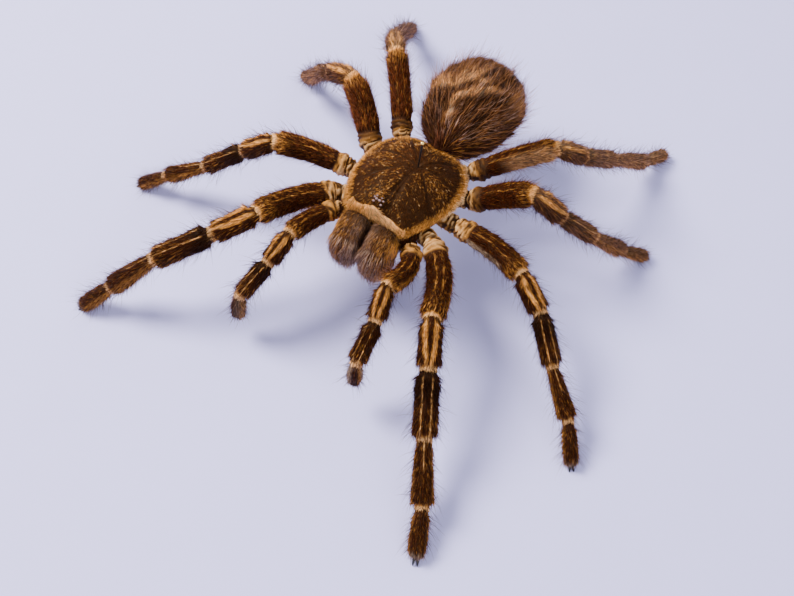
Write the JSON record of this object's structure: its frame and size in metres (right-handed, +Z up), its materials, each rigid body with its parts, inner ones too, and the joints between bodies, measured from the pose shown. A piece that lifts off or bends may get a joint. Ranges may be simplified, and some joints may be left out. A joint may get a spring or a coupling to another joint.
{
  "type": "pinned tarantula specimen",
  "caption": "Dried large tarantula, spread with its legs out and standing on its leg tips, with an insect pin through its carapace.",
  "frame": {"origin": "on the surface that the leg tips stand on, under the middle of the spread legs", "axes": "+Z up; the animal faces -Y, and its left side is +X"},
  "size_m": [0.1758, 0.1766, 0.0461],
  "materials": {
    "carapace_fur": "short brown and gold hair on dark shell",
    "abdomen_fur": "long reddish brown hair on dried skin",
    "leg_fur": "dense dark brown hair with pale stripes and rings",
    "jaw_fur": "grey brown hair",
    "horn": "glossy black horn",
    "black_enamel": "black enamelled steel",
    "brass": "polished"
  },
  "bodies": {
    "root": {"prosoma": "carapace_fur", "abdomen": "abdomen_fur", "chelicera_left": "jaw_fur", "chelicera_right": "jaw_fur", "fang_left": "horn", "fang_right": "horn", "spinneret_left": "leg_fur", "spinneret_right": "leg_fur", "pin": "black_enamel", "pin_head": "brass", "palp_left": "leg_fur", "palp_right": "leg_fur", "leg_1_left": "leg_fur", "leg_1_right": "leg_fur", "leg_2_left": "leg_fur", "leg_2_right": "leg_fur", "leg_3_left": "leg_fur", "leg_3_right": "leg_fur", "leg_4_left": "leg_fur", "leg_4_right": "leg_fur"}
  },
  "joints": []
}
